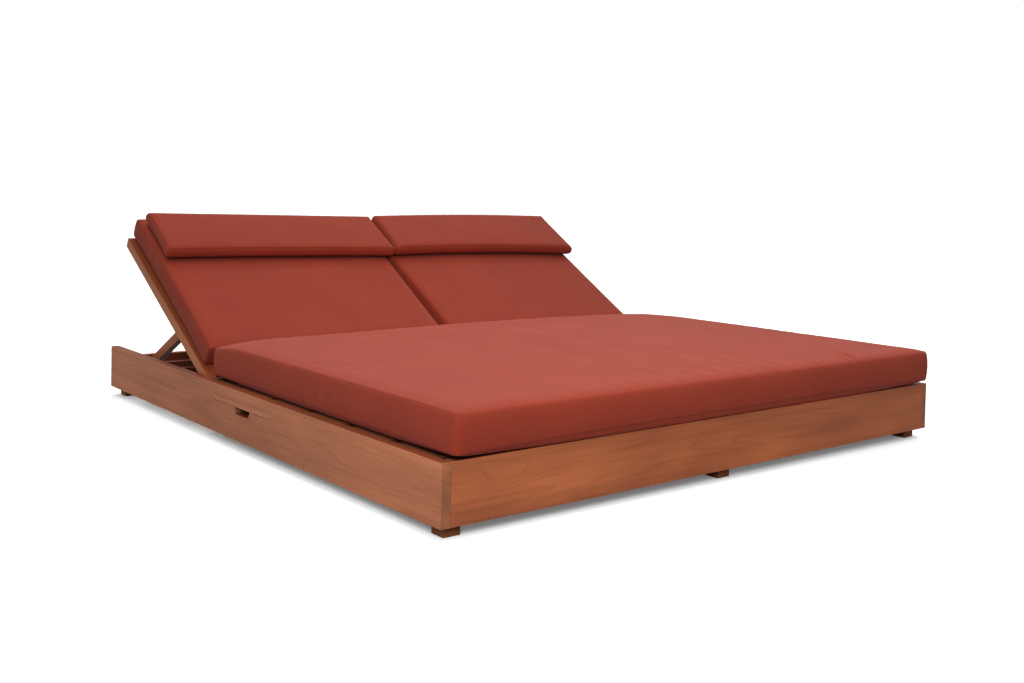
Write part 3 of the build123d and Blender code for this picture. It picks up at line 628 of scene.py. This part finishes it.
# A pad's settings, in mm. plan: its sides and ends at the seams; seams: heights of the lower and upper seam; deck
# and top: heights of its underside and top. corner: radius in plan; edge, under_edge, under_corner: how far from
# the seams the top, the underside and the underside's corners become level; covered: Y from which another pad lies
# on it. hold: how firmly the stuffing keeps a point in the simulation; pressure and grow: air pressure and growth
# of the cloth; cap: the largest move. uneven and pucker: heights of the ripples all over and near the seams.
# cells: grid of the simulation; fine: grid of the finished top. The rest is said in pad_form and sewn_pad.
pad_shared = {
    "corner": 20, "draw": (3, 3), "crown": 3, "bulge": 4, "covered": 1e4, "under_corner": 0,
    "skew": 0, "flare": 0, "swing": 0, "twist": 0, "bow": 0, "sink": 0, "tuck": 0, "slump": (), "creases": (),
    "hold": 0.35, "pressure": 3, "grow": 0.002, "cap": 6, "uneven": 1.0, "pucker": 0.35, "lines": (1, 1, 1),
    "fill": 0.8, "on_back": False}
# creases: middle (x, y), way along them in degrees, half length, width and depth
seat_creases = ((42, -850, 70, 210, 16, 1.6), (562, -973, 65, 80, 9, -4.2), (518, -985, 64, 60, 9, -1.7),
                (478, -944, 61, 60, 11, -1.6), (430, -965, 62, 55, 11, -1.2), (385, -960, 63, 55, 12, -0.9),
                (-880, 55, 66, 45, 9, 0.8), (-640, 184, -16, 42, 8, 1.4), (-560, 192, -10, 30, 8, 0.9))
sewn_pad("sewn_seat_cushion", pad_shared | {
    "plan": (-914, 921, -1032, 214), "seams": (RAIL_TOP + 12, RAIL_TOP + 105), "deck": DECK,
    "top": RAIL_TOP + 112, "crown": 6, "edge": 60, "under_edge": 18, "under_corner": 70, "sink": -7,
    "cells": (110, 76, 8), "fine": (226, 156), "seed": 11, "rounds": (6, 12, 5), "lines": (1.1, 0.1, 0.6),
    "creases": seat_creases, "slump": ((-913, 214, 12, 90), (913, 214, 7, 130), (150, 214, -8, 600)),
    "fill": 0.85}, seat_canvas, "base")
for side, name, inner, outer, skew, flare in ((-1, "left", -11, -894, 12.5, 6.5), (1, "right", 12, 897, 10, 6)):
    sewn_pad("sewn_back_cushion_" + name, pad_shared | {
        "plan": (min(inner, outer), max(inner, outer), HINGE_Y + 50, HINGE_Y + 816),
        "seams": (RAIL_TOP + 0.9, RAIL_TOP + 70), "deck": DECK, "top": BACK_PAD_TOP, "crown": 6, "edge": 40,
        "under_edge": 5, "covered": HINGE_Y + 520, "corner": 5, "bulge": 2.5, "tuck": 10, "skew": skew,
        "flare": flare, "cells": (64, 58, 6), "fine": (120, 110), "seed": 31 + side, "rounds": (8, 3, 3),
        "lines": (0.4, 0.8, 1), "on_back": True}, shaded_back_canvas, "back_" + name)
for side, name, lie, low, high, bent in (
        (-1, "left", 17, 528, 767, {"swing": -8, "skew": 3, "bow": 2}),
        (1, "right", 21, 516, 769, {"swing": -3, "twist": 7, "skew": 9, "bow": 12})):
    inner, outer = 8 * side + lie, 891 * side + lie
    sewn_pad("sewn_head_pillow_" + name, pad_shared | {
        "plan": (min(inner, outer), max(inner, outer), HINGE_Y + low, HINGE_Y + high),
        "seams": (PILLOW_DECK + 9, PILLOW_DECK + 45), "deck": PILLOW_DECK, "top": PILLOW_DECK + 49, "edge": 28,
        "under_edge": 24, "corner": 7, "bulge": 6, "cells": (70, 24, 4), "fine": (130, 50), "seed": 51 + side,
        "rounds": (4, 4, 5), "on_back": True} | bent, shaded_back_canvas, "back_" + name)

quarter = radians(90)
bar_low, bar_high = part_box("prop_bar_right")
pin = next(joint for joint in frame["joints"] if joint["name"] == "prop_right_swing")["pos_m"]
strut_fall = np.arctan2(pin[2] - (bar_low.z + bar_high.z) / 2, (bar_low.y + bar_high.y) / 2 - pin[1])
along_y = (0, 0, -quarter)
# wood of each kind of board: how their names start, its turn, its dark and light colour, and where they differ from
# the usual ones the tint of painted shade on its upper face and the brightness of its painted edge light (a painted
# highlight above 1, a painted shade line below 1)
boards = {
    "side": (("side_rail",), along_y, "#B87252", "#DC8C64", (0.4, 0.26, 0.18, 1), 1.1),
    "tray": (("tray_board", "tray_stop"), along_y, "#BA7252", "#D28A66", (1, 1, 1, 1), 0.4),
    "cross": (("foot_rail",), (0, 0, 0), "#AA6040", "#DA7D4F"),
    "head": (("head_rail", "prop_bar"), (-quarter, 0, 0), "#AA6040", "#DA7D4F", (0.3, 0.26, 0.24, 1)),
    # painted shade: the boards inside the frame and the seat slats are darker copies of the same teak, for the
    # shade they lie in
    "beam": (("ledger", "rack", "centre_beam"), along_y, "#643C2A", "#7A4C35"),
    "bearer": (("cross_bearer", "tray_runner"), (0, 0, 0), "#643C2A", "#7A4C35"),
    "slat": (("seat_slat",), (0, 0, 0), "#6E3E26", "#80492E"),
    "foot": (("foot_corner", "head_corner", "foot_middle", "head_middle"), (0, quarter, 0), "#8E5232", "#A5653F"),
    "stile": (("stile",), (-REST_ANGLE, 0, -quarter), "#A9643F", "#C67D55", (0.5, 0.32, 0.2, 1)),
    "back": (("back_rail", "back_slat"), (0, 0, 0), "#AA6040", "#DA7D4F", (0.45, 0.3, 0.2, 1)),
    "strut": (("strut",), (strut_fall + pi, 0, -quarter), "#A05E3C", "#BC7550", (0.3, 0.26, 0.24, 1))}
steel = brushed_steel("turned_stainless_steel")
finishes = {"back_pins": steel, "foot_screws": steel}
for number, (name, (starts, turn, *tones)) in enumerate(boards.items()):
    wood = oiled_teak("oiled_teak_" + name, turn, (1.7 * number, 0.6 * number, 0.4), *tones)
    finishes |= dict.fromkeys(starts, wood)
for name, node in frame["nodes"].items():
    material = next((made for start, made in finishes.items() if name.startswith(start)), None)
    if material:
        for slot in node.material_slots:
            slot.link = "OBJECT"
            slot.material = material
